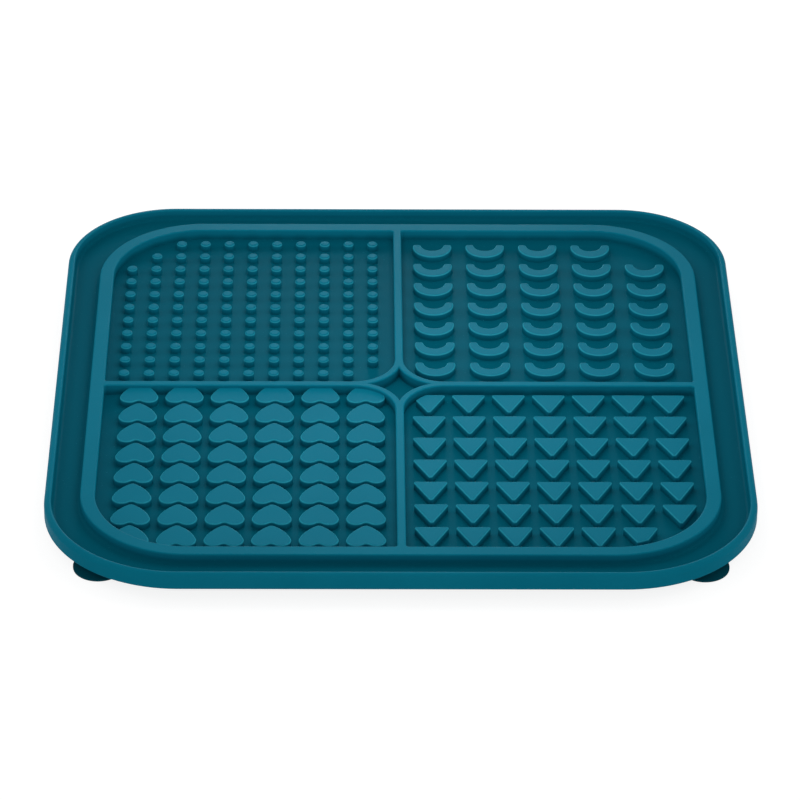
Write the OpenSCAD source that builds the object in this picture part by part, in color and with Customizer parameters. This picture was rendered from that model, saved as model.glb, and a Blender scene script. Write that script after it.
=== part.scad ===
// Four-zone lick mat: a moulded silicone tray, the raised frame and the four textured fields that stand on
// its floor, and the four suction cups that are pushed into sockets under its corners.
// Origin: on the surface that the mat stands on, under the mat's centre. +Y is the mat's back, +Z is up.

/* [Mat] */
// Width and depth of the mat
mat_w = 210; // [200:1:240]
// Radius of the mat's corners, seen from above
mat_corner_r = 33; // [28:0.5:40]
// Thickness of the floor
floor_t = 1.6; // [1.3:0.1:2.5]
// Height of the lip above the underside
lip_h = 5; // [4.6:0.1:7]
// Width of the lip round the edge
lip_w = 2.15; // [1.9:0.05:3]
// Radius of the lip's outer top edge
lip_round_r = 1.5; // [0.6:0.1:1.6]
// Radius of the other top edges
edge_r = 0.45; // [0.2:0.05:0.6]
// Radius at the foot of the moat's two walls
moat_foot_r = 1.2; // [0.4:0.1:2]

/* [Frame] */
// Distance from the mat's edge to the frame's outer side
frame_inset = 10.5; // [9:0.1:13]
// Width of the frame
frame_w = 4.4; // [3:0.1:6]
// Radius of the frame's corners, on its outer side
frame_corner_r = 32.6; // [28:0.1:36]
// Height of the frame and the dividers above the underside
frame_h = 5; // [4.6:0.1:7]
// Width of the two dividers
divider_w = 2.6; // [2:0.1:4]
// Distance that the cross of dividers lies in front of the mat's centre
cross_shift = 2; // [0:0.1:4]
// Radius of each compartment's corner at the middle of the mat
mid_corner_r = 13; // [10:0.5:16]
// Width of the curved walls round the star-shaped pocket
star_wall_w = 2.2; // [1.8:0.1:2.8]

/* [Textures] */
// Height of the crescents, hearts and triangles above the floor
texture_h = 2.45; // [1.8:0.05:3]
// Height of the pegs above the floor
peg_h = 2.6; // [1.8:0.05:3]
// Diameter of a peg
peg_d = 3.25; // [2.6:0.05:4]
// Distance between the columns of pegs
peg_step_x = 7.65; // [6.5:0.05:10]
// Distance between the rows of pegs
peg_step_y = 7.78; // [6.5:0.05:10]
// Outer radius of a crescent
crescent_r = 6.25; // [5:0.05:7]
// Width of a crescent's band
crescent_w = 3.45; // [2.5:0.05:4.2]
// Distance between the columns of crescents
crescent_step_x = 16.9; // [15.5:0.1:20]
// Distance between the rows of crescents
crescent_step_y = 11.87; // [11:0.01:15]
// Width of a heart
heart_w = 11.7; // [9:0.1:12.5]
// Length of a heart, from its point to the ends of its lobes
heart_l = 10.2; // [9:0.1:10.8]
// Distance between the columns of hearts
heart_step_x = 13.8; // [13:0.1:17]
// Distance between the rows of hearts
heart_step_y = 10.97; // [10.8:0.01:14]
// Width of a triangle's flat side
triangle_w = 10.1; // [8:0.1:11.5]
// Length of a triangle, from its flat side to its point
triangle_l = 9.1; // [8:0.1:11.3]
// Distance between the columns of triangles
triangle_step_x = 12.18; // [12:0.01:16]
// Distance between the rows of triangles
triangle_step_y = 11.95; // [11.7:0.01:15]

/* [Suction cups] */
// Distance from the mat's edge to a cup's centre
cup_inset = 17; // [14:0.5:24]
// Diameter of a cup's rim
cup_d = 15; // [13:0.5:20]
// Height of a cup's skirt
skirt_h = 2.6; // [2.2:0.1:4]
// Thickness of a cup's skirt at its rim
skirt_rim_t = 0.7; // [0.5:0.05:1]
// Thickness of the collar between a cup's skirt and its boss
collar_t = 0.5; // [0.4:0.1:1]
// Diameter of a cup's neck
neck_d = 3.2; // [2.6:0.1:4]
// Diameter of the head that holds a cup in its socket
head_d = 4.8; // [4.4:0.1:5.6]
// Height of the bosses under the mat
boss_h = 0.9; // [0.7:0.1:2]
// Gap all round a cup's neck and head in their socket
socket_gap = 0.08; // [0.05:0.01:0.1]

/* [Hidden] */
$fn = 64;

// Colours of the silicone and of the thin cups
mat_colour = [0.05, 0.42, 0.50];
top_colour = [0.14, 0.53, 0.62];
cup_colour = [0.02, 0.20, 0.25];

// Cuts run this far past the face that they open
cut_over = 0.5;

// Levels above the surface that the mat stands on
underside_z = skirt_h + collar_t + boss_h;
floor_z = underside_z + floor_t;
mat_half = mat_w / 2;

// The frame, from the mat's centre
frame_out = mat_half - frame_inset;
frame_in = frame_out - frame_w;
frame_in_r = frame_corner_r - frame_w;
wall_h = frame_h - floor_t;

// Room inside a compartment, from the dividers' sides to the frame
room_x = frame_in - divider_w / 2;
room_back = room_x + cross_shift;
room_front = room_x - cross_shift;

// Margins of the textures, from the compartment's sides to a peg's or crescent's centre, a heart's point or a
// triangle's flat side
peg_first_x = 5.6;
peg_first_y = 6.6;
peg_clear = 2.5;
crescent_first_x = 9.9;
crescent_first_y = 11.5;
crescent_clear = 1;
heart_first_x = 9;
heart_first_y = 8.8;
heart_clear = 0;
triangle_first_x = 7.55;
triangle_first_y = 3.55;
triangle_clear = 1.8;
triangle_clip_extra = 3.8;
triangle_clip_r = frame_in_r + triangle_clip_extra;

// A peg's rounded top edge
peg_round_r = 0.8;
// A crescent is a part of a ring, with round ends that reach this far above its centre
crescent_tip = 1.2;
crescent_end_r = 2.2;
// A heart's point, its bulging sides, its lobes and the hollow between them
heart_point_r = 1.55;
heart_side_r = 11.8;
heart_lobe_r = 2.9;
heart_notch = 1.25;
// A triangle's corners, and the share of its length from its flat side to its middle
triangle_corner_r = 1;
triangle_middle_share = 1 / 3;

// Suction cups
cup_place = mat_half - cup_inset;
boss_wall = 1.6;
head_t = 0.8;
head_top_r = 0.3;
skirt_top_d = 5.6;
skirt_top_t = 0.9;
boss_round_r = 0.3;
// The bell's outline, from its top to its rim, as shares of its overhang and of its height
skirt_shares = [[0.08, 0.86], [0.3, 0.62], [0.55, 0.4], [0.8, 0.18], [1, 0]];
// Width of the hollow's flat top, as a share of its overhang
hollow_top_share = 0.35;

// What a square corner loses to a round one, with the round's centre at the origin
module round_cut(r) {
    difference() {
        square(r + cut_over);
        circle(r);
    }
}

// A wall's section beside the Z axis: its face is on the axis, and it is w thick behind it
module wall_section(w, h, face_r, back_r) {
    difference() {
        translate([-w, 0])
            square([w, h]);
        translate([-face_r, h - face_r])
            round_cut(face_r);
        translate([-w + back_r, h - back_r])
            mirror([1, 0])
                round_cut(back_r);
    }
}

// The hollow fillet at the foot of a wall, to the left of the origin
module foot(r) {
    difference() {
        translate([-r, 0])
            square(r);
        translate([-r, r])
            circle(r);
    }
}

// Sweeps a wall's section round a square with round corners; the section's face is the square's outer side
module square_run(half, r) {
    for (side = [0:3])
        rotate(side * 90) {
            translate([half - r, half - r])
                rotate_extrude(angle = 90)
                    translate([r, 0])
                        children();
            rotate([90, 0, 0])
                linear_extrude(2 * (half - r), center = true)
                    translate([half, 0])
                        children();
        }
}

// A flat square with round corners
module round_square(half, r) {
    square([2 * half, 2 * (half - r)], center = true);
    square([2 * (half - r), 2 * half], center = true);
    for (x = [-1, 1], y = [-1, 1])
        translate([x * (half - r), y * (half - r)])
            circle(r);
}

// A compartment's plan from the dividers' sides, drawn in by inset all round
module room_plan(room_y, inset, corner_r, mid_r) {
    far_x = room_x - inset;
    far_y = room_y - inset;
    difference() {
        translate([inset, inset])
            square([far_x - inset, far_y - inset]);
        translate([far_x - corner_r, far_y - corner_r])
            round_cut(corner_r);
        translate([inset + mid_r, inset + mid_r])
            rotate(180)
                round_cut(mid_r);
    }
}

// How far a point lies inside a compartment's walls
function depth_inside(x, y, room_y) =
    let (far = [room_x - frame_in_r, room_y - frame_in_r])
    x > far[0] && y > far[1] ? frame_in_r - norm([x, y] - far)
    : x < mid_corner_r && y < mid_corner_r ? mid_corner_r - norm([mid_corner_r - x, mid_corner_r - y])
    : min(x, y, room_x - x, room_y - y);

// Places of a texture's copies, where all of a copy's marks lie at least clear inside the walls
function places(first, step, room_y, clear, marks) = [
    for (x = [first[0]:step[0]:room_x], y = [first[1]:step[1]:room_y])
        if (min([for (mark = marks) depth_inside(x + mark[0], y + mark[1], room_y)]) >= clear) [x, y]
];

// Stands in one compartment: side_x is -1 on the left, and side_y is -1 at the front
module in_room(side_x, side_y) {
    translate([0, -cross_shift, floor_z])
        mirror([side_x < 0 ? 1 : 0, 0, 0])
            mirror([0, side_y < 0 ? 1 : 0, 0])
                translate([divider_w / 2, divider_w / 2, 0])
                    children();
}

// Places a cup's piece under one corner
module at_corner(side_x, side_y) {
    translate([side_x * cup_place, side_y * cup_place, 0])
        children();
}

// Tray: floor, lip and the four bosses with their sockets
module base_tray() {
    color(mat_colour)
        difference() {
            union() {
                translate([0, 0, underside_z]) {
                    linear_extrude(floor_t)
                        round_square(mat_half - lip_w / 2, mat_corner_r - lip_w / 2);
                    square_run(mat_half, mat_corner_r)
                        wall_section(lip_w, lip_h, min(lip_round_r, lip_w - edge_r), edge_r);
                }
                translate([0, 0, floor_z])
                    square_run(mat_half - lip_w, mat_corner_r - lip_w)
                        foot(moat_foot_r);
                for (x = [-1, 1], y = [-1, 1])
                    at_corner(x, y)
                        boss();
            }
            for (x = [-1, 1], y = [-1, 1])
                at_corner(x, y)
                    socket();
        }
}

// A boss, rounded where it meets the cup's collar
module boss() {
    boss_r = head_d / 2 + boss_wall;
    translate([0, 0, underside_z - boss_h])
        rotate_extrude()
            difference() {
                square([boss_r, boss_h + floor_t / 2]);
                translate([boss_r - boss_round_r, boss_round_r])
                    mirror([0, 1])
                        round_cut(boss_round_r);
            }
}

// The undercut socket that a cup's neck and head fill
module socket() {
    mouth_z = underside_z - boss_h;
    translate([0, 0, mouth_z - cut_over])
        cylinder(h = boss_h + cut_over, d = neck_d + 2 * socket_gap);
    translate([0, 0, underside_z - socket_gap])
        cylinder(h = head_t + 2 * socket_gap, d = head_d + 2 * socket_gap);
}

// Frame round the four compartments, with the cross of dividers and the star-shaped pocket in its middle
module divider_frame() {
    star_centre = divider_w / 2 + mid_corner_r;
    leg_back = frame_in + frame_w / 2 + cross_shift;
    leg_front = leg_back - 2 * cross_shift;
    leg_side = leg_back - cross_shift;
    color(top_colour)
        translate([0, 0, floor_z]) {
            square_run(frame_out, frame_corner_r) {
                wall_section(frame_w, wall_h, edge_r, edge_r);
                mirror([1, 0])
                    foot(moat_foot_r);
            }
            translate([0, -cross_shift, 0]) {
                for (leg = [[0, leg_side], [1, leg_back], [2, leg_side], [3, leg_front]])
                    rotate(leg[0] * 90)
                        divider_leg(star_centre, leg[1]);
                for (corner = [0:3])
                    rotate(corner * 90)
                        translate([star_centre, star_centre])
                            rotate(180)
                                rotate_extrude(angle = 90)
                                    translate([mid_corner_r + star_wall_w, 0])
                                        wall_section(star_wall_w, wall_h, edge_r, edge_r);
            }
        }
}

// One straight divider along +X, from the end of the curved walls into the frame
module divider_leg(from_x, to_x) {
    translate([to_x, 0, 0])
        rotate([90, 0, -90])
            linear_extrude(to_x - from_x)
                translate([divider_w / 2, 0])
                    wall_section(divider_w, wall_h, edge_r, edge_r);
}

// Back left compartment: a grid of round pegs
module peg_field() {
    first_x = (room_x - peg_first_x) % peg_step_x;
    first_y = (room_back - peg_first_y) % peg_step_y;
    grid = places([first_x, first_y], [peg_step_x, peg_step_y], room_back, peg_d / 2 + peg_clear,
                  [[0, 0]]);
    color(top_colour)
        in_room(-1, 1)
            for (at = grid)
                translate(at)
                    peg();
}

module peg() {
    rotate_extrude()
        difference() {
            square([peg_d / 2, peg_h]);
            translate([peg_d / 2 - peg_round_r, peg_h - peg_round_r])
                round_cut(peg_round_r);
        }
}

// Back right compartment: rows of crescents that open to the back
module crescent_field() {
    marks = [[-crescent_r, crescent_tip], [crescent_r, crescent_tip], [0, -crescent_r]];
    grid = places([crescent_first_x, crescent_first_y], [crescent_step_x, crescent_step_y], room_back,
                  crescent_clear, marks);
    color(top_colour)
        in_room(1, 1)
            for (at = grid)
                translate(at)
                    crescent();
}

module crescent() {
    end_x = crescent_r - crescent_w / 2;
    end_y = crescent_tip - crescent_end_r;
    difference() {
        rotate_extrude()
            translate([crescent_r, 0])
                wall_section(crescent_w, texture_h, edge_r, edge_r);
        // What lies above the ends' centres, less the two round ends
        translate([0, 0, -cut_over])
            linear_extrude(texture_h + 2 * cut_over)
                difference() {
                    translate([-crescent_r - cut_over, end_y])
                        square([2 * (crescent_r + cut_over), crescent_r + cut_over - end_y]);
                    for (x = [-1, 1])
                        translate([x * end_x, end_y])
                            circle(crescent_end_r);
                }
    }
}

// Front left compartment: rows of hearts with their points to the back, cut off where they meet a wall
module heart_field() {
    lobe_y = heart_l - heart_lobe_r;
    grid = places([heart_first_x, heart_first_y - heart_step_y], [heart_step_x, heart_step_y], room_front,
                  heart_clear, [[0, lobe_y - heart_lobe_r / 2]]);
    color(top_colour)
        in_room(-1, -1)
            linear_extrude(texture_h)
                intersection() {
                    room_plan(room_front, 0, frame_in_r, mid_corner_r);
                    union()
                        for (at = grid)
                            translate(at)
                                heart_plan();
                }
}

// A heart's outline, with its point at the origin and its lobes towards +Y
module heart_plan() {
    lobe = [heart_w / 2 - heart_lobe_r, heart_l - heart_lobe_r];
    point = [0, heart_point_r];
    // Circle of the right side, which the point's circle and the right lobe's circle touch from inside
    apart = norm(lobe - point);
    reach = (lobe - point) / apart;
    from_point = heart_side_r - heart_point_r;
    along = (pow(from_point, 2) - pow(heart_side_r - heart_lobe_r, 2) + pow(apart, 2)) / (2 * apart);
    side = point + reach * along + [-reach[1], reach[0]] * sqrt(pow(from_point, 2) - pow(along, 2));
    // Circle of the hollow between the lobes, which touches them both
    notch_drop = heart_lobe_r - heart_notch;
    notch_r = (pow(lobe[0], 2) + pow(notch_drop, 2) - pow(heart_lobe_r, 2)) / (2 * (heart_lobe_r - notch_drop));
    notch = [0, lobe[1] + notch_drop + notch_r];
    touch = lobe + (notch - lobe) * heart_lobe_r / norm(notch - lobe);
    difference() {
        union() {
            translate(point)
                circle(heart_point_r);
            for (x = [-1, 1])
                translate([x * lobe[0], lobe[1]])
                    circle(heart_lobe_r);
            polygon([point, lobe, touch, [-touch[0], touch[1]], [-lobe[0], lobe[1]]]);
            for (x = [0, 1])
                mirror([x, 0])
                    intersection() {
                        translate(side)
                            circle(heart_side_r);
                        polygon([point, 2 * point - side, 2 * lobe - side, lobe]);
                    }
        }
        translate(notch)
            circle(notch_r);
    }
}

// Front right compartment: rows of triangles with their points to the front, trimmed clear of the walls
module triangle_field() {
    grid = places([triangle_first_x, triangle_first_y], [triangle_step_x, triangle_step_y], room_front,
                  triangle_clear, [[0, triangle_l * triangle_middle_share]]);
    color(top_colour)
        in_room(1, -1)
            linear_extrude(texture_h)
                intersection() {
                    room_plan(room_front, triangle_clear, triangle_clip_r, mid_corner_r - triangle_clear);
                    union()
                        for (at = grid)
                            translate(at)
                                triangle_plan();
                }
}

// A triangle's outline, with its flat side on the X axis and its point towards +Y
module triangle_plan() {
    r = triangle_corner_r;
    // Centres of the three round corners, and the half angle at the point
    base_x = triangle_w / 2 - r;
    point_y = triangle_l - r;
    half_a = atan2(base_x, point_y - r);
    side = [cos(half_a), sin(half_a)];
    for (at = [[0, point_y], [-base_x, r], [base_x, r]])
        translate(at)
            circle(r);
    polygon([
        [-base_x, 0], [base_x, 0], [base_x, r] + side * r, [0, point_y] + side * r,
        [-side[0] * r, point_y + side[1] * r], [-base_x - side[0] * r, r + side[1] * r]
    ]);
}

// The part of a cup that turns in its socket: head, neck and collar
module cup_stem() {
    color(cup_colour)
        translate([0, 0, skirt_h])
            rotate_extrude() {
                square([skirt_top_d / 2, collar_t]);
                square([neck_d / 2, collar_t + boss_h + head_t]);
                translate([0, collar_t + boss_h])
                    difference() {
                        square([head_d / 2, head_t]);
                        translate([head_d / 2 - head_top_r, head_t - head_top_r])
                            round_cut(head_top_r);
                    }
            }
}

// The part of a cup that flattens when the mat is pressed down: a hollow bell, open below
module cup_skirt() {
    rim_r = cup_d / 2;
    top_r = skirt_top_d / 2;
    hollow_h = skirt_h - skirt_top_t;
    color(cup_colour)
        rotate_extrude()
            polygon([
                [0, skirt_h], [top_r, skirt_h],
                for (share = skirt_shares)
                    [top_r + (rim_r - top_r) * share[0], skirt_rim_t + (skirt_h - skirt_rim_t) * share[1]],
                [rim_r, 0], [rim_r - skirt_rim_t, 0],
                for (i = [len(skirt_shares) - 1:-1:0])
                    [
                        (rim_r - skirt_rim_t) * (skirt_shares[i][0] + hollow_top_share) / (1 + hollow_top_share),
                        hollow_h * skirt_shares[i][1]
                    ],
                [0, hollow_h]
            ]);
}

base_tray();
divider_frame();
peg_field();
crescent_field();
heart_field();
triangle_field();
at_corner(-1, -1) cup_stem();  // cup_stem_front_left
at_corner(1, -1) cup_stem();  // cup_stem_front_right
at_corner(-1, 1) cup_stem();  // cup_stem_back_left
at_corner(1, 1) cup_stem();  // cup_stem_back_right
at_corner(-1, -1) cup_skirt();  // cup_skirt_front_left
at_corner(1, -1) cup_skirt();  // cup_skirt_front_right
at_corner(-1, 1) cup_skirt();  // cup_skirt_back_left
at_corner(1, 1) cup_skirt();  // cup_skirt_back_right
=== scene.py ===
# A four-compartment silicone lick mat on four suction cups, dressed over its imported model
import math
import bmesh
import bpy
from mathutils import Matrix, Vector


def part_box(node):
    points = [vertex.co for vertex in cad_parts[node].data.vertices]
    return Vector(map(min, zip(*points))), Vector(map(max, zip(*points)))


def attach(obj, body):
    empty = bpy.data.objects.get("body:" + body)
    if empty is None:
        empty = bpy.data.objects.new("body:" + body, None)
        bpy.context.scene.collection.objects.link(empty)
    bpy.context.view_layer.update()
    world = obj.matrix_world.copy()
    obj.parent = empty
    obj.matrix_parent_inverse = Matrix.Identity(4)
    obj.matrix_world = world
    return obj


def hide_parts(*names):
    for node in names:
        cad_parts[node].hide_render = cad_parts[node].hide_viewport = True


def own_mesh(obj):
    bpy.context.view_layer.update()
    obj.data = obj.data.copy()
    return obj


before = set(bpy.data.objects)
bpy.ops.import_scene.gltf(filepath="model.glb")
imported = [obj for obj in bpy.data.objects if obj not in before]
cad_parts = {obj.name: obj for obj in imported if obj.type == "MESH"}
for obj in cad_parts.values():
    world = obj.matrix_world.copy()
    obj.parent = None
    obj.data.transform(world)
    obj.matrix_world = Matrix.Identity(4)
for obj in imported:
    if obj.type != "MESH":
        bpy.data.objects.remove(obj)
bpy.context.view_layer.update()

# One millimetre in metres
MM = 0.001

# Levels and the overall size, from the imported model
MAT_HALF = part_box("base_tray")[1].x
TOP_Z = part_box("base_tray")[1].z
FLOOR_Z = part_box("peg_field")[0].z
TEXTURE_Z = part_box("crescent_field")[1].z
SKIRT_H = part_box("cup_skirt_front_left")[1].z
WALL_H = TOP_Z - FLOOR_Z
TEXTURE_H = TEXTURE_Z - FLOOR_Z
PEG_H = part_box("peg_field")[1].z - FLOOR_Z

# Tray: its floor, its corners, of which the front ones are rounder, its lip, and the rounds of its edges
FLOOR_T = 1.6 * MM
UNDERSIDE_Z = FLOOR_Z - FLOOR_T
FRONT_CORNER = 40.5 * MM
BACK_CORNER = 33.5 * MM
LIP_W = 2.15 * MM
LIP_ROUND = 1.5 * MM
EDGE_ROUND = 0.45 * MM
BASE_ROUND = 0.3 * MM
MOAT_FOOT = 1.2 * MM

# Frame, cross of dividers and star-shaped pocket
FRAME_INSET = 10.5 * MM
FRAME_OUT = MAT_HALF - FRAME_INSET
FRAME_W = 4.4 * MM
FRAME_IN = FRAME_OUT - FRAME_W
FRAME_CORNER = 32.6 * MM
ROOM_CORNER = FRAME_CORNER - FRAME_W
DIVIDER_HALF = 1.3 * MM
CROSS_Y = -2 * MM
MID_CORNER = 13 * MM
STAR_WALL = 2.2 * MM
JUNCTION_ROUND = 0.8 * MM

# Textures: each has the distances between its copies, the first copy's place in its compartment,
# and the least room between a copy's marks and the compartment's walls
TEXTURE_EDGE = 0.4 * MM
TEXTURE_FOOT = 0.2 * MM

# Pegs
PEG_R = 1.625 * MM
PEG_ROUND = 0.5 * MM
PEG_STEP = (7.65 * MM, 7.78 * MM)
PEG_FIRST = (5.6 * MM, 6.75 * MM)
PEG_GAP = 2.5 * MM
PEG_CLEAR = PEG_R + PEG_GAP
PEG_SIDES = 16

# Crescents: the outer radius, the hollow's radius and place, and the horns' height and round corners
CRESCENT_R = 6.2 * MM
CRESCENT_HOLLOW_R = 3.6 * MM
CRESCENT_HOLLOW_Y = 1.3 * MM
CRESCENT_TIP = 1.4 * MM
CRESCENT_CORNER = 0.75 * MM
CRESCENT_STEP = (16.9 * MM, 11.87 * MM)
CRESCENT_FIRST = (9.9 * MM, 11 * MM)
CRESCENT_CLEAR = 1 * MM
CRESCENT_HOLLOW_STEPS = 10
CRESCENT_HORN_STEPS = 4
CRESCENT_OUTER_STEPS = 18

# Hearts
HEART_HALF_W = 5.85 * MM
HEART_L = 10.55 * MM
HEART_POINT_R = 1.55 * MM
HEART_SIDE_R = 11.8 * MM
HEART_LOBE_R = 2.9 * MM
HEART_NOTCH = 1.1 * MM
HEART_STEP = (13.8 * MM, 11.02 * MM)
HEART_FIRST = (9 * MM, 8.55 * MM)
HEART_CLEAR = 0
HEART_MARK_Y = HEART_L / 2
HEART_HOLLOW_STEPS = 4
HEART_LOBE_STEPS = 12
HEART_SIDE_STEPS = 4
HEART_POINT_STEPS = 3

# Triangles: the curve that trims them at the frame's corner is wider than the frame's own
TRIANGLE_HALF_W = 4.98 * MM
TRIANGLE_L = 9.65 * MM
TRIANGLE_CORNER = 0.65 * MM
TRIANGLE_STEP = (12.18 * MM, 11.95 * MM)
TRIANGLE_FIRST = (7.55 * MM, 3.6 * MM)
TRIANGLE_CLEAR = 1.8 * MM
TRIANGLE_TRIM_WIDER = 1.8 * MM
TRIANGLE_TRIM_R = ROOM_CORNER + TRIANGLE_TRIM_WIDER
TRIANGLE_MARK_Y = TRIANGLE_L / 3
TRIANGLE_BASE_STEPS = 4
TRIANGLE_POINT_STEPS = 3

# Suction cups: the bell and the hollow under it
CUP_INSET = 17 * MM
CUP_PLACE = MAT_HALF - CUP_INSET
CUP_R = 7.5 * MM
CUP_SIDES = 64
SKIRT_TOP_R = 2.8 * MM
SKIRT_RIM_T = 0.7 * MM
SKIRT_RIM_ROUND = 0.2 * MM
SKIRT_RIM_STEPS = 3
SKIRT_ROOF_T = 0.9 * MM
HOLLOW_H = SKIRT_H - SKIRT_ROOF_T
HOLLOW_R = CUP_R - SKIRT_RIM_T
HOLLOW_TOP_R = HOLLOW_R / 20
BELL_STEPS = 10
# Share of the bell's slope that is straight, and the power by which the rest turns up at the collar
BELL_STRAIGHT = 0.88
BELL_POWER = 6
# Power that rounds the hollow's roof
HOLLOW_POWER = 1.6

# Suction cups: the stem, and the boss and socket that hold it
COLLAR_H = 0.5 * MM
NECK_R = 1.6 * MM
HEAD_R = 2.4 * MM
HEAD_H = 0.8 * MM
HEAD_ROUND = 0.3 * MM
BOSS_WALL = 1.6 * MM
BOSS_R = HEAD_R + BOSS_WALL
BOSS_H = UNDERSIDE_Z - SKIRT_H - COLLAR_H
SOCKET_GAP = 0.08 * MM

# The mat's four corners, by the side of the middle that each lies on
CORNERS = {"front_left": (-1, -1), "front_right": (1, -1), "back_left": (-1, 1), "back_right": (1, 1)}

# Steps in a quarter of a large corner and of a small one, and the largest radius of a small one
CORNER_STEPS = 28
SMALL_CORNER_STEPS = 5
SMALL_CORNER = MID_CORNER / 2
# Steps in the round of an edge, of a wide edge, of a texture's foot and of a texture's top edge
ROUND_STEPS = 4
WIDE_ROUND_STEPS = 8
FOOT_STEPS = 1
TOP_STEPS = 3
# Sides of the round cutters that leave the star-shaped pocket
STAR_SIDES = 128

# Cutters run this far past what they cut
OVER = 1 * MM
# Points this near to a place lie on it, and points nearer than the second value are one
NEAR = OVER / 1000
MERGE = OVER / 5000
# A normal's Z is above the first value on a level face, within the second on an upright one,
# and below the third on one that faces down
LEVEL = 0.99
UPRIGHT = 0.1
DOWN = -0.9
# Faces that meet at less than this angle are shaded as one
SMOOTH_ANGLE = math.radians(40)
# Profile of a bevel that makes a round
ROUND_PROFILE = 0.5

# Colours of the silicone: linear red, green, blue and alpha
TEAL = (0.002, 0.165, 0.25, 1)
PALE_TEAL = (0.003, 0.178, 0.267, 1)
DUSTY_TEAL = (0.02, 0.22, 0.3, 1)
# Painted shade for the recesses, darkest at the floor; on the cups it is the colour of their specks
FLOOR_SHADE_AND_CUP_SPECK_TEAL = (0.0005, 0.11, 0.165, 1)
# Painted highlight on the textures' rounded top edges
EDGE_HIGHLIGHT_TEAL = (0.02, 0.3, 0.41, 1)
# The cups' own darker teal, darkened further with painted shade
SHADED_CUP_TEAL = (0.0005, 0.06, 0.088, 1)

# Gloss of the silicone, on top and down at the floor, and its roughness from and to
SILICONE_IOR = 1.41
GLOSS = 0.015
FLOOR_GLOSS = 0.006
ROUGHNESS = (0.4, 0.48)

# Patterns in the silicone: noise scale and detail
DRIFT = (38, 2)
SMUDGES = (150, 3)
SPECKS = (2600, 1)
WAVES = (90, 1)
GRAIN = (3200, 2)
# The noise values that a pattern runs between, and those between which a speck sets in
NOISE_RANGE = (0.3, 0.7)
SPECK_RANGE = (0.74, 0.8)
# Depth and strength of the bumps
WAVE_BUMP = (0.15 * MM, 0.3)
GRAIN_BUMP = (0.02 * MM, 0.35)

# Painted shade: the darker colour of the recesses gives way to the tops' from the first height over the
# floor to the second below the tops
SHADE_OVER_FLOOR = 0.6 * MM
SHADE_BELOW_TOP = 0.4 * MM
SHADE_FADE = (FLOOR_Z + SHADE_OVER_FLOOR, TEXTURE_Z - SHADE_BELOW_TOP)
# Heights below the tops between which the painted highlight on the textures' top edges comes in, and then
# goes out
HIGHLIGHT_IN_BELOW = (0.45 * MM, 0.3 * MM)
HIGHLIGHT_OUT_BELOW = (0.06 * MM, 0.01 * MM)

# White floor: its size in metres, what it sends back to the mat, and what the camera sees of it
STAGE_SIZE = 6
STAGE_BOUNCE = 0.8
STAGE_SHOWN = 0.3
STAGE_GLOW = 0.85
# Even light from all round
SKY_STRENGTH = 0.375
# Square lamps: name, place and side in metres, and watts
LAMPS = [
    ("top_softbox", (0, -0.012, 0.12), 0.12, 0.068),
    ("back_softbox", (0, 0.6, 0.2), 0.2, 0.35),
    ("low_back_softbox", (0, 0.6, 0.13), 0.2, 1),
    ("left_back_softbox", (-0.3, 0.25, 0.15), 0.2, 0.13),
    ("left_softbox", (-0.3, 0, 0.12), 0.2, 0.13),
    ("right_softbox", (0.3, 0, 0.12), 0.2, 0.16),
    ("front_softbox", (0, -0.9, 0.5), 0.8, 1.3),
    ("low_front_softbox", (0, -0.9, 0.06), 0.1, 0.55),
]


# Tools that several pieces use

def start_clean():
    """Leaves nothing selected, so that an operator acts on one piece alone"""
    if bpy.context.object and bpy.context.object.mode != "OBJECT":
        bpy.ops.object.mode_set(mode="OBJECT")
    bpy.ops.object.select_all(action="DESELECT")


def pick(*pieces):
    """Selects the pieces, with the first one active"""
    start_clean()
    for piece in pieces:
        piece.select_set(True)
    bpy.context.view_layer.objects.active = pieces[0]


def edit(piece):
    """Opens a piece in edit mode, with all of it selected"""
    pick(piece)
    bpy.ops.object.mode_set(mode="EDIT")
    bpy.ops.mesh.select_all(action="SELECT")


def choose(kind, wanted):
    """Selects only the wanted faces, edges or vertices of the piece that is in edit mode"""
    bpy.ops.mesh.select_mode(type={"faces": "FACE", "edges": "EDGE", "verts": "VERT"}[kind])
    bpy.ops.mesh.select_all(action="DESELECT")
    mesh = bmesh.from_edit_mesh(bpy.context.object.data)
    mesh.normal_update()
    for part in getattr(mesh, kind):
        if wanted(part):
            part.select_set(True)
    mesh.select_flush_mode()
    bmesh.update_edit_mesh(bpy.context.object.data)


def lift(height):
    """Draws the selected faces up by a height, with a wall below their edge"""
    bpy.ops.mesh.extrude_region_move(TRANSFORM_OT_translate={"value": (0, 0, height)})


def climb(steps):
    """Insets the selected faces again and again; each step goes so far inwards and so far outwards"""
    for inwards, outwards in steps:
        bpy.ops.mesh.inset(thickness=inwards, depth=outwards, use_even_offset=True)


def over_edge(radius, count=ROUND_STEPS):
    """Steps round a top edge, from an upright wall to a flat top"""
    return quarter(radius, count, lambda turn: (1 - math.cos(turn), math.sin(turn)))


def out_of_floor(radius, count=ROUND_STEPS):
    """Steps up the hollow foot of a wall, from a flat floor to an upright wall"""
    return quarter(radius, count, lambda turn: (math.sin(turn), 1 - math.cos(turn)))


def quarter(radius, count, place):
    """Steps through a quarter circle, where place gives the point for each turn"""
    places = [place(math.pi / 2 * i / count) for i in range(count + 1)]
    return [((b[0] - a[0]) * radius, (b[1] - a[1]) * radius) for a, b in zip(places, places[1:])]


def downwards(steps):
    """The same steps, down instead of up"""
    return [(inwards, -outwards) for inwards, outwards in steps]


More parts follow.
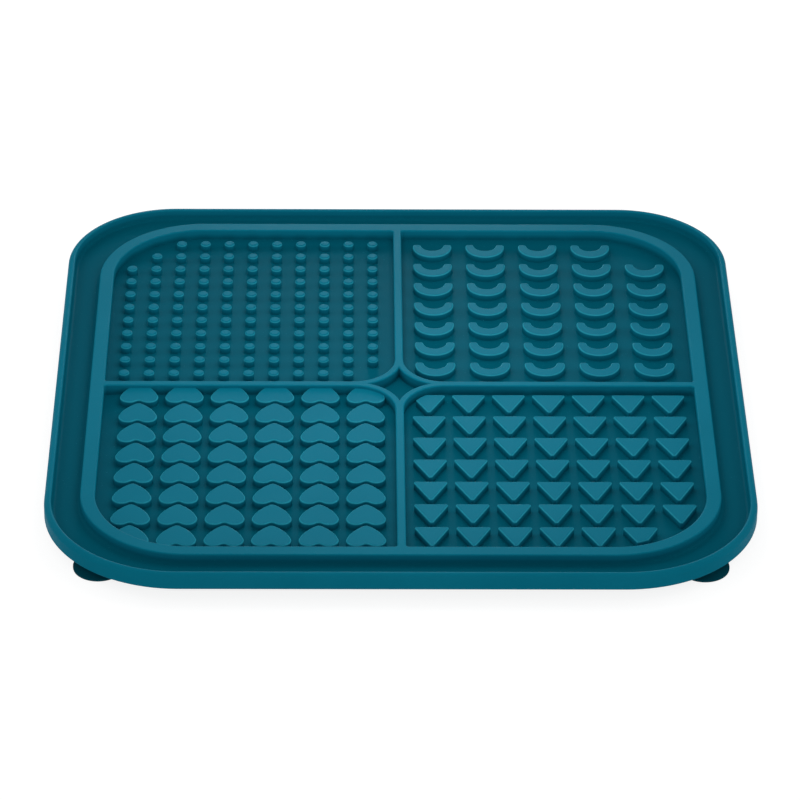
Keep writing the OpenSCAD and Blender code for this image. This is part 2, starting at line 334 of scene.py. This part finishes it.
def flat_plate(low, high, z, radii):
    """A flat face from low to high; its corners' radii go round from low x, low y, to the right"""
    start_clean()
    centre = ((low[0] + high[0]) / 2, (low[1] + high[1]) / 2, z)
    bpy.ops.mesh.primitive_plane_add(size=1, location=centre)
    plate = bpy.context.object
    bpy.ops.transform.resize(value=(high[0] - low[0], high[1] - low[1], 1))
    bpy.ops.object.transform_apply(location=True, rotation=True, scale=True)
    edit(plate)
    places = [(low[0], low[1]), (high[0], low[1]), (high[0], high[1]), (low[0], high[1])]
    for place, radius in zip(places, radii):
        corner = Vector((*place, z))
        choose("verts", lambda v: (v.co - corner).length < NEAR)
        steps = CORNER_STEPS if radius > SMALL_CORNER else SMALL_CORNER_STEPS
        bpy.ops.mesh.bevel(affect="VERTICES", offset=radius, segments=steps, profile=ROUND_PROFILE)
    start_clean()
    return plate


def round_plate(x, y, z, radius, sides):
    """A flat round face"""
    place = (x, y, z)
    start_clean()
    bpy.ops.mesh.primitive_circle_add(vertices=sides, radius=radius, fill_type="NGON", location=place)
    bpy.ops.object.transform_apply(location=True, rotation=True, scale=True)
    return bpy.context.object


def mirrored_plate(arcs):
    """A flat face at the floor: its right half runs through the arcs, and its left half mirrors it"""
    # Each arc has a centre, a radius, the ways its outside faces at its start and end, and its steps
    # A hollow arc has a radius below zero, and straight lines join the arcs
    def on_arc(centre, radius, facing):
        return centre + radius * Vector((math.cos(facing), math.sin(facing)))

    # A small face shrinks to a point on the mirror line, which is then drawn out along the outline
    here = Vector((0, on_arc(*arcs[0][:3]).y))
    start_clean()
    bpy.ops.mesh.primitive_plane_add(size=OVER, location=(*here, FLOOR_Z))
    plate = bpy.context.object
    bpy.ops.object.transform_apply(location=True, rotation=True, scale=True)
    edit(plate)
    bpy.ops.mesh.select_mode(type="VERT")
    bpy.ops.mesh.merge(type="CENTER")
    for centre, radius, start, end, count in arcs:
        line = on_arc(centre, radius, start) - here
        if line.length > NEAR:
            bpy.ops.mesh.extrude_region_move(TRANSFORM_OT_translate={"value": (*line, 0)})
        bpy.ops.mesh.spin(steps=count, angle=end - start, center=(*centre, FLOOR_Z), axis=(0, 0, -1))
        here = on_arc(centre, radius, end)
    bpy.ops.mesh.select_all(action="SELECT")
    bpy.ops.mesh.duplicate()
    bpy.ops.transform.resize(value=(-1, 1, 1), center_override=(0, 0, FLOOR_Z))
    bpy.ops.mesh.select_all(action="SELECT")
    bpy.ops.mesh.remove_doubles(threshold=MERGE)
    bpy.ops.mesh.edge_face_add()
    choose("faces", lambda f: f.normal.z < 0)
    bpy.ops.mesh.flip_normals()
    start_clean()
    return plate


def solid_from(plate, height):
    """A plain block that stands on the plate"""
    edit(plate)
    lift(height)
    return close(plate)


def form_from(plate, height, foot=TEXTURE_FOOT, top=TEXTURE_EDGE,
              foot_steps=FOOT_STEPS, top_steps=TOP_STEPS):
    """A moulded form that stands on the plate: a hollow foot, an upright wall and a rounded top edge"""
    edit(plate)
    # The plate stays as the underside, and a copy of it climbs
    lift(0)
    climb(out_of_floor(foot, foot_steps))
    lift(height - foot - top)
    climb(over_edge(top, top_steps))
    return close(plate)


def close(piece):
    """Merges doubled points and turns every face outwards"""
    edit(piece)
    bpy.ops.mesh.remove_doubles(threshold=MERGE)
    bpy.ops.mesh.normals_make_consistent(inside=False)
    start_clean()
    return piece


def boolean(piece, tool, operation):
    """Cuts, joins or intersects a piece with a tool, which is used up"""
    pick(piece)
    bpy.ops.object.modifier_add(type="BOOLEAN")
    modifier = piece.modifiers[-1]
    modifier.operation = operation
    modifier.solver = "EXACT"
    modifier.object = tool
    bpy.ops.object.modifier_apply(modifier=modifier.name)
    bpy.data.objects.remove(tool)


def copies(model, places):
    """A copy of the model at each place, each with its own mesh; the model is used up"""
    made = []
    for x, y in places:
        pick(model)
        bpy.ops.object.duplicate(linked=False)
        bpy.ops.transform.translate(value=(x, y, 0))
        made.append(bpy.context.object)
    pick(*made)
    bpy.ops.object.transform_apply(location=True, rotation=True, scale=True)
    bpy.data.objects.remove(model)
    return made


def joined(pieces):
    """The pieces as one"""
    pick(*pieces)
    bpy.ops.object.join()
    return bpy.context.object


def round_edges(piece, z, radius):
    """Rounds the sharp edges at one height, between flat tops and upright walls"""
    def sharp(edge):
        normals = [face.normal.z for face in edge.link_faces]
        at_height = all(abs(v.co.z - z) < NEAR for v in edge.verts)
        return at_height and len(normals) == 2 and max(normals) > LEVEL and abs(min(normals)) < UPRIGHT

    edit(piece)
    choose("edges", sharp)
    bpy.ops.mesh.bevel(offset=radius, segments=ROUND_STEPS, profile=ROUND_PROFILE, clamp_overlap=False)
    start_clean()


def finish_piece(piece, name, body, nodes, material, inside=None, is_inside=None):
    """Smooths and names a piece, gives it its materials and lets it ride in place of its nodes"""
    close(piece)
    pick(piece)
    bpy.ops.object.shade_smooth_by_angle(angle=SMOOTH_ANGLE)
    bpy.ops.object.modifier_add(type="WEIGHTED_NORMAL")
    modifier = piece.modifiers[-1]
    modifier.keep_sharp = True
    bpy.ops.object.modifier_apply(modifier=modifier.name)
    piece.name = name
    piece.data.name = name
    piece.data.materials.clear()
    piece.data.materials.append(material)
    # The faces that is_inside picks take a material of their own
    if inside:
        piece.data.materials.append(inside)
        edit(piece)
        choose("faces", is_inside)
        piece.active_material_index = 1
        bpy.ops.object.material_slot_assign()
        start_clean()
    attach(piece, body)
    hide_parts(*nodes)
    start_clean()


def finish_field(field, name, node, material):
    """Finishes a piece that is part of the mat"""
    finish_piece(field, name, "mat", [node], material)


# The compartments: side_x is -1 on the left and 1 on the right, and side_y is -1 in front and 1 behind

def room(side_y):
    """A compartment's inner width and depth, from the dividers' sides to the frame"""
    across = FRAME_IN - DIVIDER_HALF
    return across, across - side_y * CROSS_Y


def room_plate(side_x, side_y, inset, far_radius, mid_radius):
    """A compartment's outline, drawn in by inset all round, as a flat plate below the floor"""
    width, depth = room(side_y)
    near = (side_x * (DIVIDER_HALF + inset), CROSS_Y + side_y * (DIVIDER_HALF + inset))
    far = (side_x * (DIVIDER_HALF + width - inset), CROSS_Y + side_y * (DIVIDER_HALF + depth - inset))
    low = (min(near[0], far[0]), min(near[1], far[1]))
    high = (max(near[0], far[0]), max(near[1], far[1]))
    # A corner touches both dividers, one divider or none
    radius_by_dividers = {2: mid_radius, 1: JUNCTION_ROUND, 0: far_radius}
    corners = [(low[0], low[1]), (high[0], low[1]), (high[0], high[1]), (low[0], high[1])]
    radii = [radius_by_dividers[(x == near[0]) + (y == near[1])] for x, y in corners]
    return flat_plate(low, high, FLOOR_Z - OVER, radii)


def room_block(side_x, side_y, inset=0, far_radius=ROOM_CORNER, mid_radius=MID_CORNER):
    """A compartment's inside as a block that runs past the walls above and below"""
    return solid_from(room_plate(side_x, side_y, inset, far_radius, mid_radius), WALL_H + 2 * OVER)


def room_depth(x, y, size):
    """How far a point in a compartment lies inside its walls"""
    far = (size[0] - ROOM_CORNER, size[1] - ROOM_CORNER)
    if x > far[0] and y > far[1]:
        return ROOM_CORNER - math.hypot(x - far[0], y - far[1])
    if x < MID_CORNER and y < MID_CORNER:
        return MID_CORNER - math.hypot(MID_CORNER - x, MID_CORNER - y)
    return min(x, y, size[0] - x, size[1] - y)


def grid(side_x, side_y, first, step, clear, marks):
    """Places of a texture's copies whose marks all lie at least clear inside the compartment's walls"""
    size = room(side_y)
    found = []
    for column in range(math.floor((size[0] - first[0]) / step[0]) + 1):
        for row in range(math.floor((size[1] - first[1]) / step[1]) + 1):
            x = first[0] + column * step[0]
            y = first[1] + row * step[1]
            if min(room_depth(x + mark[0], y + mark[1], size) for mark in marks) >= clear:
                found.append((side_x * (DIVIDER_HALF + x), CROSS_Y + side_y * (DIVIDER_HALF + y)))
    return found


# The tray

def make_tray(material, inside):
    """Floor with a lip round it, and a boss with an undercut socket under each corner"""
    radii = [FRONT_CORNER, FRONT_CORNER, BACK_CORNER, BACK_CORNER]
    tray = flat_plate((-MAT_HALF, -MAT_HALF), (MAT_HALF, MAT_HALF), UNDERSIDE_Z, radii)
    edit(tray)
    lift(TOP_Z - UNDERSIDE_Z - LIP_ROUND)
    climb(over_edge(LIP_ROUND, WIDE_ROUND_STEPS))
    climb([(LIP_W - LIP_ROUND - EDGE_ROUND, 0)])
    climb(downwards(out_of_floor(EDGE_ROUND)))
    lift(-(WALL_H - EDGE_ROUND - MOAT_FOOT))
    climb(downwards(over_edge(MOAT_FOOT, WIDE_ROUND_STEPS)))
    close(tray)
    edit(tray)
    choose("edges", round_underside)
    bpy.ops.mesh.bevel(offset=BASE_ROUND, segments=ROUND_STEPS, profile=ROUND_PROFILE)
    start_clean()
    for x, y in CORNERS.values():
        add_boss(tray, x * CUP_PLACE, y * CUP_PLACE)
    finish_piece(tray, "tray", "mat", ["base_tray"], material, inside, in_moat)


def round_underside(edge):
    """Tells whether an edge runs round the underside, below the outer wall"""
    low = all(v.co.z < UNDERSIDE_Z + NEAR for v in edge.verts)
    return edge.is_manifold and low and any(abs(face.normal.z) < UPRIGHT for face in edge.link_faces)


def in_moat(face):
    """Tells whether a face lies inside the lip, from its inner edge down to the floor"""
    return all(v.co.z > FLOOR_Z - NEAR and within_lip(v.co) for v in face.verts)


def within_lip(place):
    """Tells whether a point lies inside the lip's inner edge, seen from above"""
    across = abs(place.x)
    along = abs(place.y)
    radius = FRONT_CORNER if place.y < 0 else BACK_CORNER
    middle = MAT_HALF - radius
    if across > middle and along > middle:
        return math.hypot(across - middle, along - middle) < radius - LIP_W + NEAR
    return max(across, along) < MAT_HALF - LIP_W + NEAR


def add_boss(tray, x, y):
    """Adds a boss under the floor and opens the socket for a cup's neck and head in it"""
    boss = round_plate(x, y, UNDERSIDE_Z - BOSS_H, BOSS_R, CUP_SIDES)
    boolean(tray, solid_from(boss, BOSS_H + FLOOR_T / 2), "UNION")
    neck = round_plate(x, y, UNDERSIDE_Z - BOSS_H - OVER, NECK_R + SOCKET_GAP, CUP_SIDES)
    boolean(tray, solid_from(neck, BOSS_H + OVER + HEAD_H / 2), "DIFFERENCE")
    head = round_plate(x, y, UNDERSIDE_Z - SOCKET_GAP, HEAD_R + SOCKET_GAP, CUP_SIDES)
    boolean(tray, solid_from(head, HEAD_H + 2 * SOCKET_GAP), "DIFFERENCE")


# The frame

def make_frame(material):
    """Frame with a hollow foot in the moat, out of which the compartments and the pocket are cut"""
    half = FRAME_OUT + MOAT_FOOT
    rim = flat_plate((-half, -half), (half, half), FLOOR_Z, [FRAME_CORNER + MOAT_FOOT] * len(CORNERS))
    form_from(rim, WALL_H, MOAT_FOOT, EDGE_ROUND, WIDE_ROUND_STEPS, ROUND_STEPS)
    for x, y in CORNERS.values():
        boolean(rim, room_block(x, y), "DIFFERENCE")
    boolean(rim, star_block(), "DIFFERENCE")
    round_edges(rim, TOP_Z, EDGE_ROUND)
    finish_field(rim, "frame_and_dividers", "divider_frame", material)


def star_block():
    """The pocket's shape: a block whose corners are cut away by four round ones"""
    reach = DIVIDER_HALF + MID_CORNER
    low_z = FLOOR_Z - OVER
    start_clean()
    bpy.ops.mesh.primitive_cube_add(size=1, location=(0, CROSS_Y, low_z + WALL_H / 2 + OVER))
    star = bpy.context.object
    bpy.ops.transform.resize(value=(2 * reach, 2 * reach, WALL_H + 2 * OVER))
    bpy.ops.object.transform_apply(location=True, rotation=True, scale=True)
    for x, y in CORNERS.values():
        corner = (x * reach, CROSS_Y + y * reach, low_z - OVER)
        cutter = round_plate(*corner, MID_CORNER + STAR_WALL, STAR_SIDES)
        boolean(star, solid_from(cutter, WALL_H + 4 * OVER), "DIFFERENCE")
    return star


# The textures

def make_pegs(material):
    """Back left compartment: round pegs, counted from the frame"""
    size = room(1)
    first = [(size[i] - PEG_FIRST[i]) % PEG_STEP[i] for i in (0, 1)]
    peg = form_from(round_plate(0, 0, FLOOR_Z, PEG_R + TEXTURE_FOOT, PEG_SIDES), PEG_H, top=PEG_ROUND)
    places = grid(-1, 1, first, PEG_STEP, PEG_CLEAR, [(0, 0)])
    finish_field(joined(copies(peg, places)), "pegs", "peg_field", material)


def make_crescents(material):
    """Back right compartment: crescents that open to the back"""
    crescent = form_from(crescent_plate(), TEXTURE_H)
    marks = [(-CRESCENT_R, CRESCENT_TIP), (CRESCENT_R, CRESCENT_TIP), (0, -CRESCENT_R)]
    places = grid(1, 1, CRESCENT_FIRST, CRESCENT_STEP, CRESCENT_CLEAR, marks)
    finish_field(joined(copies(crescent, places)), "crescents", "crescent_field", material)


def crescent_plate():
    """A crescent's outline at the floor: round outside about the origin, and open to the back"""
    hollow = Vector((0, CRESCENT_HOLLOW_Y))
    # Each horn ends in two round corners: one touches the hollow side, the other the outer side
    corner_y = CRESCENT_TIP - CRESCENT_CORNER
    from_hollow = CRESCENT_HOLLOW_R + CRESCENT_CORNER
    from_middle = CRESCENT_R - CRESCENT_CORNER
    near = Vector((math.sqrt(from_hollow ** 2 - (corner_y - hollow.y) ** 2), corner_y))
    far = Vector((math.sqrt(from_middle ** 2 - corner_y ** 2), corner_y))
    near_facing = math.atan2(hollow.y - near.y, -near.x)
    far_facing = math.atan2(far.y, far.x)
    corner_r = CRESCENT_CORNER + TEXTURE_FOOT
    outer_r = CRESCENT_R + TEXTURE_FOOT
    return mirrored_plate([
        (hollow, TEXTURE_FOOT - CRESCENT_HOLLOW_R, math.pi / 2, near_facing, CRESCENT_HOLLOW_STEPS),
        (near, corner_r, near_facing, math.pi / 2, CRESCENT_HORN_STEPS),
        (far, corner_r, math.pi / 2, far_facing, CRESCENT_HORN_STEPS),
        (Vector((0, 0)), outer_r, far_facing, -math.pi / 2, CRESCENT_OUTER_STEPS),
    ])


def make_hearts(material):
    """Front left compartment: hearts with their points to the back, cut off where they meet a wall"""
    heart = form_from(heart_plate(), TEXTURE_H)
    # One row more lies next to the divider, which cuts its points off
    first = (HEART_FIRST[0], HEART_FIRST[1] - HEART_STEP[1])
    places = grid(-1, -1, first, HEART_STEP, HEART_CLEAR, [(0, HEART_MARK_Y)])
    field = joined(copies(heart, places))
    boolean(field, room_block(-1, -1), "INTERSECT")
    finish_field(field, "hearts", "heart_field", material)


def heart_plate():
    """A heart's outline at the floor, with its point at the origin and its lobes to the front"""
    lobe = Vector((HEART_HALF_W - HEART_LOBE_R, HEART_LOBE_R - HEART_L))
    point = Vector((0, -HEART_POINT_R))
    # The round hollow between the lobes touches both of them
    drop = HEART_LOBE_R - HEART_NOTCH
    hollow_r = (lobe.x ** 2 + drop ** 2 - HEART_LOBE_R ** 2) / (2 * (HEART_LOBE_R - drop))
    hollow = Vector((0, lobe.y - drop - hollow_r))
    touch = math.atan2(hollow.y - lobe.y, -lobe.x)
    # The bulging right side touches the lobe and the point's round from outside
    reach = lobe - point
    from_point = HEART_SIDE_R - HEART_POINT_R
    from_lobe = HEART_SIDE_R - HEART_LOBE_R
    along = (from_point ** 2 - from_lobe ** 2 + reach.length ** 2) / (2 * reach.length)
    aside = math.sqrt(from_point ** 2 - along ** 2)
    reach.normalize()
    side = point + along * reach + aside * Vector((reach.y, -reach.x))
    low_facing = math.atan2(lobe.y - side.y, lobe.x - side.x)
    high_facing = math.atan2(point.y - side.y, point.x - side.x)
    return mirrored_plate([
        (hollow, TEXTURE_FOOT - hollow_r, -math.pi / 2, touch, HEART_HOLLOW_STEPS),
        (lobe, HEART_LOBE_R + TEXTURE_FOOT, touch, low_facing, HEART_LOBE_STEPS),
        (side, HEART_SIDE_R + TEXTURE_FOOT, low_facing, high_facing, HEART_SIDE_STEPS),
        (point, HEART_POINT_R + TEXTURE_FOOT, high_facing, math.pi / 2, HEART_POINT_STEPS),
    ])


def make_triangles(material):
    """Front right compartment: triangles with their points to the front, trimmed clear of the walls"""
    triangle = solid_from(triangle_plate(), TEXTURE_H)
    places = grid(1, -1, TRIANGLE_FIRST, TRIANGLE_STEP, TRIANGLE_CLEAR, [(0, TRIANGLE_MARK_Y)])
    field = joined(copies(triangle, places))
    trim = room_block(1, -1, TRIANGLE_CLEAR, TRIANGLE_TRIM_R, MID_CORNER - TRIANGLE_CLEAR)
    boolean(field, trim, "INTERSECT")
    round_edges(field, TEXTURE_Z, TEXTURE_EDGE)
    finish_field(field, "triangles", "triangle_field", material)


def triangle_plate():
    """A triangle's outline, with its flat side on the X axis and its point to the front"""
    base = Vector((TRIANGLE_HALF_W - TRIANGLE_CORNER, -TRIANGLE_CORNER))
    point = Vector((0, TRIANGLE_CORNER - TRIANGLE_L))
    slant = math.atan2(base.x, base.y - point.y)
    return mirrored_plate([
        (base, TRIANGLE_CORNER, math.pi / 2, -slant, TRIANGLE_BASE_STEPS),
        (point, TRIANGLE_CORNER, -slant, -math.pi / 2, TRIANGLE_POINT_STEPS),
    ])


# The suction cups

def make_cups(material):
    """Four suction cups: stems that sit in the sockets and hollow bell skirts, each cup on a body of its
    own
    """
    places = [(x * CUP_PLACE, y * CUP_PLACE) for x, y in CORNERS.values()]
    skirts = copies(skirt_model(), places)
    stems = copies(stem_model(), places)
    for corner, place, skirt, stem in zip(CORNERS, places, skirts, stems):
        body = f"stem_{corner}"
        finish_piece(stem, f"stem_{corner}", body, [f"cup_stem_{corner}"], material)
        finish_piece(skirt, f"skirt_{corner}", body, [f"cup_skirt_{corner}"], material)
        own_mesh(skirt)


def bell_steps(from_r, to_r, rise):
    """Steps from a bell's rim to its top, where rise gives the height at each share of the way"""
    shares = [i / BELL_STEPS for i in range(BELL_STEPS + 1)]
    return [((from_r - to_r) / BELL_STEPS, rise(b) - rise(a)) for a, b in zip(shares, shares[1:])]


def slope_rise(share):
    """Height of the bell's top side over its rim, at a share of the way in"""
    return (SKIRT_H - SKIRT_RIM_T) * (BELL_STRAIGHT * share + (1 - BELL_STRAIGHT) * share ** BELL_POWER)


def hollow_rise(share):
    """Height of the hollow's roof, at a share of the way in"""
    return HOLLOW_H * (1 - (1 - share) ** HOLLOW_POWER)


def rim_edge(edge):
    """Tells whether an edge of the skirt lies on the ground, at a side of its rim"""
    low = all(v.co.z < NEAR for v in edge.verts)
    return low and any(face.normal.z > DOWN for face in edge.link_faces)


def skirt_model():
    """A cup's hollow bell at the origin, open below"""
    skirt = round_plate(0, 0, 0, CUP_R, CUP_SIDES)
    edit(skirt)
    lift(SKIRT_RIM_T)
    climb(bell_steps(CUP_R, SKIRT_TOP_R, slope_rise))
    close(skirt)
    edit(skirt)
    choose("faces", lambda f: f.normal.z < DOWN)
    climb([(SKIRT_RIM_T, 0)])
    climb(downwards(bell_steps(HOLLOW_R, HOLLOW_TOP_R, hollow_rise)))
    choose("edges", rim_edge)
    bpy.ops.mesh.bevel(offset=SKIRT_RIM_ROUND, segments=SKIRT_RIM_STEPS, profile=ROUND_PROFILE)
    start_clean()
    return skirt


def stem_model():
    """A cup's collar, neck and head at the origin"""
    stem = round_plate(0, 0, SKIRT_H, SKIRT_TOP_R, CUP_SIDES)
    edit(stem)
    lift(COLLAR_H)
    climb([(SKIRT_TOP_R - NECK_R, 0)])
    lift(BOSS_H)
    # The head's flat underside is a ring drawn out from the neck
    lift(0)
    wider = HEAD_R / NECK_R
    bpy.ops.transform.resize(value=(wider, wider, 1), center_override=(0, 0, UNDERSIDE_Z))
    lift(HEAD_H - HEAD_ROUND)
    climb(over_edge(HEAD_ROUND))
    return close(stem)


# The silicone

def object_place(tree):
    """Object coordinates of the surface"""
    return tree.nodes.new("ShaderNodeTexCoord").outputs["Object"]


def surface_height(tree):
    """Height of the surface over what the mat stands on"""
    node = tree.nodes.new("ShaderNodeSeparateXYZ")
    tree.links.new(object_place(tree), node.inputs[0])
    return node.outputs["Z"]


def noise(tree, pattern):
    """A noise with a pattern's scale and detail"""
    node = tree.nodes.new("ShaderNodeTexNoise")
    node.inputs["Scale"].default_value = pattern[0]
    node.inputs["Detail"].default_value = pattern[1]
    tree.links.new(object_place(tree), node.inputs["Vector"])
    return node.outputs["Fac"]


def spread(tree, value, source, target):
    """Stretches the values of the source range over the target range"""
    node = tree.nodes.new("ShaderNodeMapRange")
    for socket, number in zip(node.inputs[1:5], (*source, *target)):
        socket.default_value = number
    tree.links.new(value, node.inputs[0])
    return node.outputs[0]


def mix(tree, share, first, second):
    """The first colour where the share is 0, and the second where it is 1"""
    node = tree.nodes.new("ShaderNodeMix")
    node.data_type = "RGBA"
    tree.links.new(share, node.inputs[0])
    for socket, value in ((node.inputs[6], first), (node.inputs[7], second)):
        if isinstance(value, tuple):
            socket.default_value = value
        else:
            tree.links.new(value, socket)
    return node.outputs[2]


def calculate(tree, operation, first, second):
    """The result of an operation on two linked values"""
    node = tree.nodes.new("ShaderNodeMath")
    node.operation = operation
    tree.links.new(first, node.inputs[0])
    tree.links.new(second, node.inputs[1])
    return node.outputs[0]


def bump(tree, height, size, before=None):
    """Bumps of a depth and strength, on top of those before"""
    node = tree.nodes.new("ShaderNodeBump")
    node.inputs["Distance"].default_value = size[0]
    node.inputs["Strength"].default_value = size[1]
    tree.links.new(height, node.inputs["Height"])
    if before:
        tree.links.new(before, node.inputs["Normal"])
    return node.outputs["Normal"]


def silicone(name, main, pale, dusty, shade=None):
    """Satin silicone with drifting pigment, low waves, fine grain and a few dusty specks"""
    material = bpy.data.materials.new(name)
    material.use_nodes = True
    tree = material.node_tree
    surface = tree.nodes["Principled BSDF"]
    surface.inputs["IOR"].default_value = SILICONE_IOR
    surface.inputs["Specular IOR Level"].default_value = GLOSS
    colour = mix(tree, spread(tree, noise(tree, DRIFT), NOISE_RANGE, (0, 1)), main, pale)
    # A shade function paints shade, and on the textures a highlight, into the colour by height
    if shade:
        colour = shade(tree, surface, colour)
    specks = spread(tree, noise(tree, SPECKS), SPECK_RANGE, (0, 1))
    tree.links.new(mix(tree, specks, colour, dusty), surface.inputs["Base Color"])
    smudges = spread(tree, noise(tree, SMUDGES), NOISE_RANGE, ROUGHNESS)
    tree.links.new(smudges, surface.inputs["Roughness"])
    waves = bump(tree, noise(tree, WAVES), WAVE_BUMP)
    tree.links.new(bump(tree, noise(tree, GRAIN), GRAIN_BUMP, waves), surface.inputs["Normal"])
    return material


def paint_floor_shade(tree, surface, colour):
    """Paints shade into the colour, darker towards the floor, and makes the surface less glossy there"""
    up = spread(tree, surface_height(tree), SHADE_FADE, (0, 1))
    gloss = spread(tree, up, (0, 1), (FLOOR_GLOSS, GLOSS))
    tree.links.new(gloss, surface.inputs["Specular IOR Level"])
    return mix(tree, up, FLOOR_SHADE_AND_CUP_SPECK_TEAL, colour)


def paint_shade_and_highlight(tree, surface, colour):
    """Paints shade, darker towards the floor, and a highlight, paler on the textures' top edges"""
    height = surface_height(tree)
    fade_in = spread(tree, height, [TEXTURE_Z - below for below in HIGHLIGHT_IN_BELOW], (0, 1))
    fade_out = spread(tree, height, [TEXTURE_Z - below for below in HIGHLIGHT_OUT_BELOW], (1, 0))
    # Mask of the painted highlight on the top edges
    rim = calculate(tree, "MULTIPLY", fade_in, fade_out)
    return mix(tree, rim, paint_floor_shade(tree, surface, colour), EDGE_HIGHLIGHT_TEAL)


def lip_silicone():
    """The outside of the mat and the top of its lip"""
    return silicone("teal_silicone", TEAL, PALE_TEAL, DUSTY_TEAL)


def inside_silicone():
    """The moat, the floor and the frame, with shade painted darker towards the floor"""
    return silicone("teal_silicone_inside", TEAL, PALE_TEAL, DUSTY_TEAL, paint_floor_shade)


def texture_silicone():
    """Pegs, crescents, hearts and triangles, with painted shade towards the floor and a painted highlight
    on their top edges
    """
    return silicone("teal_silicone_textures", TEAL, PALE_TEAL, DUSTY_TEAL, paint_shade_and_highlight)


def cup_silicone():
    """The cups, a darker teal silicone, darkened further with painted shade from the mat above them"""
    return silicone("dark_teal_silicone", SHADED_CUP_TEAL, SHADED_CUP_TEAL, FLOOR_SHADE_AND_CUP_SPECK_TEAL)


# The floor, the light and the camera

def grey(level):
    """A grey from 0, black, to 1, white"""
    return (level, level, level, 1)


def shader(tree, kind, **inputs):
    """The output of a new shader with these values on its sockets"""
    node = tree.nodes.new(kind)
    for name, value in inputs.items():
        node.inputs[name].default_value = value
    return node.outputs[0]


def choice(tree, share, first, second):
    """The first shader where the share is 0, and the second where it is 1"""
    node = tree.nodes.new("ShaderNodeMixShader")
    for socket, value in zip(node.inputs, (share, first, second)):
        tree.links.new(value, socket)
    return node.outputs[0]


def make_floor():
    """White floor that keeps a soft shadow of the mat"""
    start_clean()
    bpy.ops.mesh.primitive_plane_add(size=STAGE_SIZE, location=(0, 0, 0))
    floor = bpy.context.object
    floor.name = "floor"
    material = bpy.data.materials.new("white_floor")
    material.use_nodes = True
    tree = material.node_tree
    tree.nodes.clear()
    bounce = shader(tree, "ShaderNodeBsdfDiffuse", Color=grey(STAGE_BOUNCE))
    both = tree.nodes.new("ShaderNodeAddShader")
    tree.links.new(shader(tree, "ShaderNodeBsdfDiffuse", Color=grey(STAGE_SHOWN)), both.inputs[0])
    tree.links.new(shader(tree, "ShaderNodeEmission", Strength=STAGE_GLOW), both.inputs[1])
    # What the camera sees, straight, in a reflection or through something clear, is white
    path = tree.nodes.new("ShaderNodeLightPath")
    seen = path.outputs["Is Camera Ray"]
    for kind in ("Is Glossy Ray", "Is Transmission Ray"):
        seen = calculate(tree, "MAXIMUM", seen, path.outputs[kind])
    output = tree.nodes.new("ShaderNodeOutputMaterial")
    tree.links.new(choice(tree, seen, bounce, both.outputs[0]), output.inputs["Surface"])
    floor.data.materials.append(material)


def make_world():
    """Soft light from all round, and pure white where the camera looks past the floor"""
    world = bpy.data.worlds.new("studio")
    bpy.context.scene.world = world
    world.use_nodes = True
    tree = world.node_tree
    tree.nodes.clear()
    soft = shader(tree, "ShaderNodeBackground", Color=grey(1), Strength=SKY_STRENGTH)
    white = shader(tree, "ShaderNodeBackground", Color=grey(1), Strength=1)
    seen = tree.nodes.new("ShaderNodeLightPath").outputs["Is Camera Ray"]
    output = tree.nodes.new("ShaderNodeOutputWorld")
    tree.links.new(choice(tree, seen, soft, white), output.inputs["Surface"])


def make_softbox(name, place, size, watts):
    """A square lamp that faces the mat's middle"""
    start_clean()
    bpy.ops.object.light_add(type="AREA", location=place)
    lamp = bpy.context.object
    lamp.name = name
    lamp.data.size = size
    lamp.data.energy = watts
    lamp.visible_camera = False
    lamp.rotation_euler = (-Vector(place)).to_track_quat("-Z", "Y").to_euler()


def make_camera():
    """The photograph's view: from the front, well above the mat and far off, as its edges show"""
    elevation = math.radians(32.557)
    turn = math.radians(0.7496)
    roll = math.radians(0.5133)
    distance = 1381.1 * MM
    aim = Vector((0.273 * MM, -11.795 * MM, TOP_Z))
    ahead = Vector((math.sin(turn), math.cos(turn), 0))
    view = ahead * math.cos(elevation) - Vector((0, 0, math.sin(elevation)))
    level = Vector((math.cos(turn), -math.sin(turn), 0))
    upright = level.cross(view)
    right = math.cos(roll) * level + math.sin(roll) * upright
    up = -math.sin(roll) * level + math.cos(roll) * upright
    data = bpy.data.cameras.new("camera")
    data.lens = 204.437
    data.sensor_width = 36
    # The picture's middle lies half a pixel from the aim
    picture_w = 800
    half_pixel = 0.5 / picture_w
    data.shift_x = -half_pixel
    data.shift_y = half_pixel
    camera = bpy.data.objects.new("camera", data)
    bpy.context.scene.collection.objects.link(camera)
    axes = Matrix((right, up, -view)).transposed()
    camera.matrix_world = Matrix.Translation(aim - view * distance) @ axes.to_4x4()
    bpy.context.scene.camera = camera


make_camera()
inner_teal = inside_silicone()
texture_teal = texture_silicone()
make_tray(lip_silicone(), inner_teal)
make_frame(inner_teal)
make_pegs(texture_teal)
make_crescents(texture_teal)
make_hearts(texture_teal)
make_triangles(texture_teal)
make_cups(cup_silicone())

make_floor()
make_world()
for lamp in LAMPS:
    make_softbox(*lamp)
bpy.context.scene.view_settings.view_transform = "Standard"
